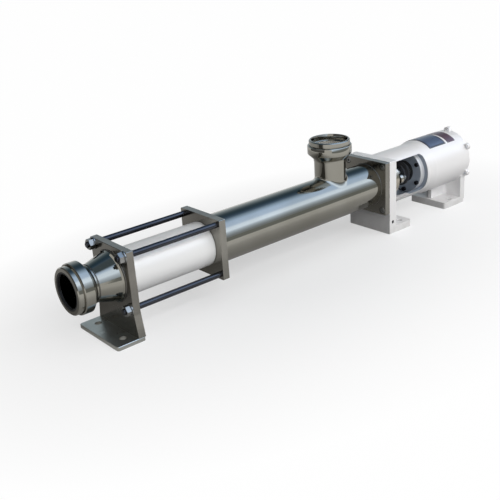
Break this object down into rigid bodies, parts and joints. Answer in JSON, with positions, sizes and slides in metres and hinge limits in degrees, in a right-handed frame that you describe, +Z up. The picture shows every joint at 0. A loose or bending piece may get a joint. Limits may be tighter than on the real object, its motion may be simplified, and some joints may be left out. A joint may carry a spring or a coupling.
{
  "type": "progressive cavity pump",
  "caption": "Horizontal progressive cavity pump: helical rotor in a lined stator, suction housing with top port, flexible drive shaft, bearing bracket with hollow drive end.",
  "frame": {"origin": "middle of the footprint on the floor", "axes": "+X along the pump axis from the discharge union to the drive end, +Z up, +Y across the pump"},
  "size_m": [1.1032, 0.14, 0.25],
  "materials": {
    "discharge_liner": "mirror-polished stainless steel",
    "discharge_seal_ring": "black moulded rubber",
    "discharge_cone": "mirror-polished stainless steel",
    "discharge_flange": "mirror-polished stainless steel",
    "discharge_foot": "mirror-polished stainless steel",
    "tie_rods": "bright drawn stainless bar, darker reflections",
    "tie_rod_washers": "satin machined stainless steel",
    "tie_rod_nuts": "satin machined stainless steel",
    "stator_tube": "glossy white paint over steel",
    "stator_elastomer": "black moulded rubber",
    "rotor": "mirror-polished stainless steel",
    "housing_front_flange": "mirror-polished stainless steel",
    "suction_housing": "mirror-polished stainless steel",
    "suction_nozzle": "mirror-polished stainless steel",
    "suction_liner": "mirror-polished stainless steel",
    "housing_rear_flange": "mirror-polished stainless steel",
    "housing_screws": "satin machined stainless steel",
    "bearing_bracket": "glossy white paint over grey cast iron",
    "side_plugs": "blackened steel screw",
    "seal_housing": "satin machined stainless steel",
    "packing_rings": "braided packing, waxy",
    "gland_follower": "satin machined stainless steel",
    "gland_studs": "satin machined stainless steel",
    "gland_nuts": "satin machined stainless steel",
    "bearing_cover": "satin machined stainless steel",
    "bearing_cover_screws": "satin machined stainless steel",
    "front_lip_seal": "black moulded rubber",
    "bearing_outer_rings": "ground bearing steel",
    "bearing_inner_rings": "ground bearing steel",
    "bearing_rollers": "ground bearing steel",
    "rear_cover": "satin machined stainless steel",
    "rear_lip_seal": "black moulded rubber",
    "bearing_lock_nut": "satin machined stainless steel",
    "drive_shaft": "satin machined stainless steel",
    "slinger_ring": "black moulded rubber",
    "flexible_shaft": "satin machined stainless steel"
  },
  "bodies": {
    "pump_frame": {"discharge_liner": "discharge_liner", "discharge_seal_ring": "discharge_seal_ring", "discharge_cone": "discharge_cone", "discharge_flange": "discharge_flange", "discharge_foot": "discharge_foot", "tie_rods": "tie_rods", "tie_rod_washers": "tie_rod_washers", "tie_rod_nuts": "tie_rod_nuts", "stator_tube": "stator_tube", "stator_elastomer": "stator_elastomer", "housing_front_flange": "housing_front_flange", "suction_housing": "suction_housing", "suction_nozzle": "suction_nozzle", "suction_liner": "suction_liner", "housing_rear_flange": "housing_rear_flange", "housing_screws": "housing_screws", "bearing_bracket": "bearing_bracket", "side_plugs": "side_plugs", "seal_housing": "seal_housing", "packing_rings": "packing_rings", "gland_follower": "gland_follower", "gland_studs": "gland_studs", "gland_nuts": "gland_nuts", "bearing_cover": "bearing_cover", "bearing_cover_screws": "bearing_cover_screws", "front_lip_seal": "front_lip_seal", "bearing_outer_rings": "bearing_outer_rings", "rear_cover": "rear_cover", "rear_lip_seal": "rear_lip_seal"},
    "drive": {"drive_shaft": "drive_shaft", "slinger_ring": "slinger_ring", "bearing_inner_rings": "bearing_inner_rings", "bearing_lock_nut": "bearing_lock_nut"},
    "roller_set": {"bearing_rollers": "bearing_rollers"},
    "flex_drive": {"flexible_shaft": "flexible_shaft"},
    "rotor_body": {"rotor": "rotor"}
  },
  "joints": [
    {"name": "drive_spin", "type": "hinge", "parent": "pump_frame", "child": "drive", "pos_m": [0.24165, 0, 0.114], "axis": [1, 0, 0], "continuous": true},
    {"name": "roller_orbit", "type": "hinge", "parent": "pump_frame", "child": "roller_set", "pos_m": [0.41165, 0, 0.114], "axis": [1, 0, 0], "continuous": true},
    {"name": "flex_orbit", "type": "hinge", "parent": "pump_frame", "child": "flex_drive", "pos_m": [0.04165, 0, 0.114], "axis": [1, 0, 0], "continuous": true},
    {"name": "rotor_roll", "type": "hinge", "parent": "flex_drive", "child": "rotor_body", "pos_m": [-0.19835, 0, 0.12], "axis": [1, 0, 0], "continuous": true}
  ],
  "couplings": [
    {"joint": "roller_orbit", "follows": "drive_spin", "ratio": 0.425},
    {"joint": "flex_orbit", "follows": "drive_spin", "ratio": -1},
    {"joint": "rotor_roll", "follows": "drive_spin", "ratio": 2}
  ]
}
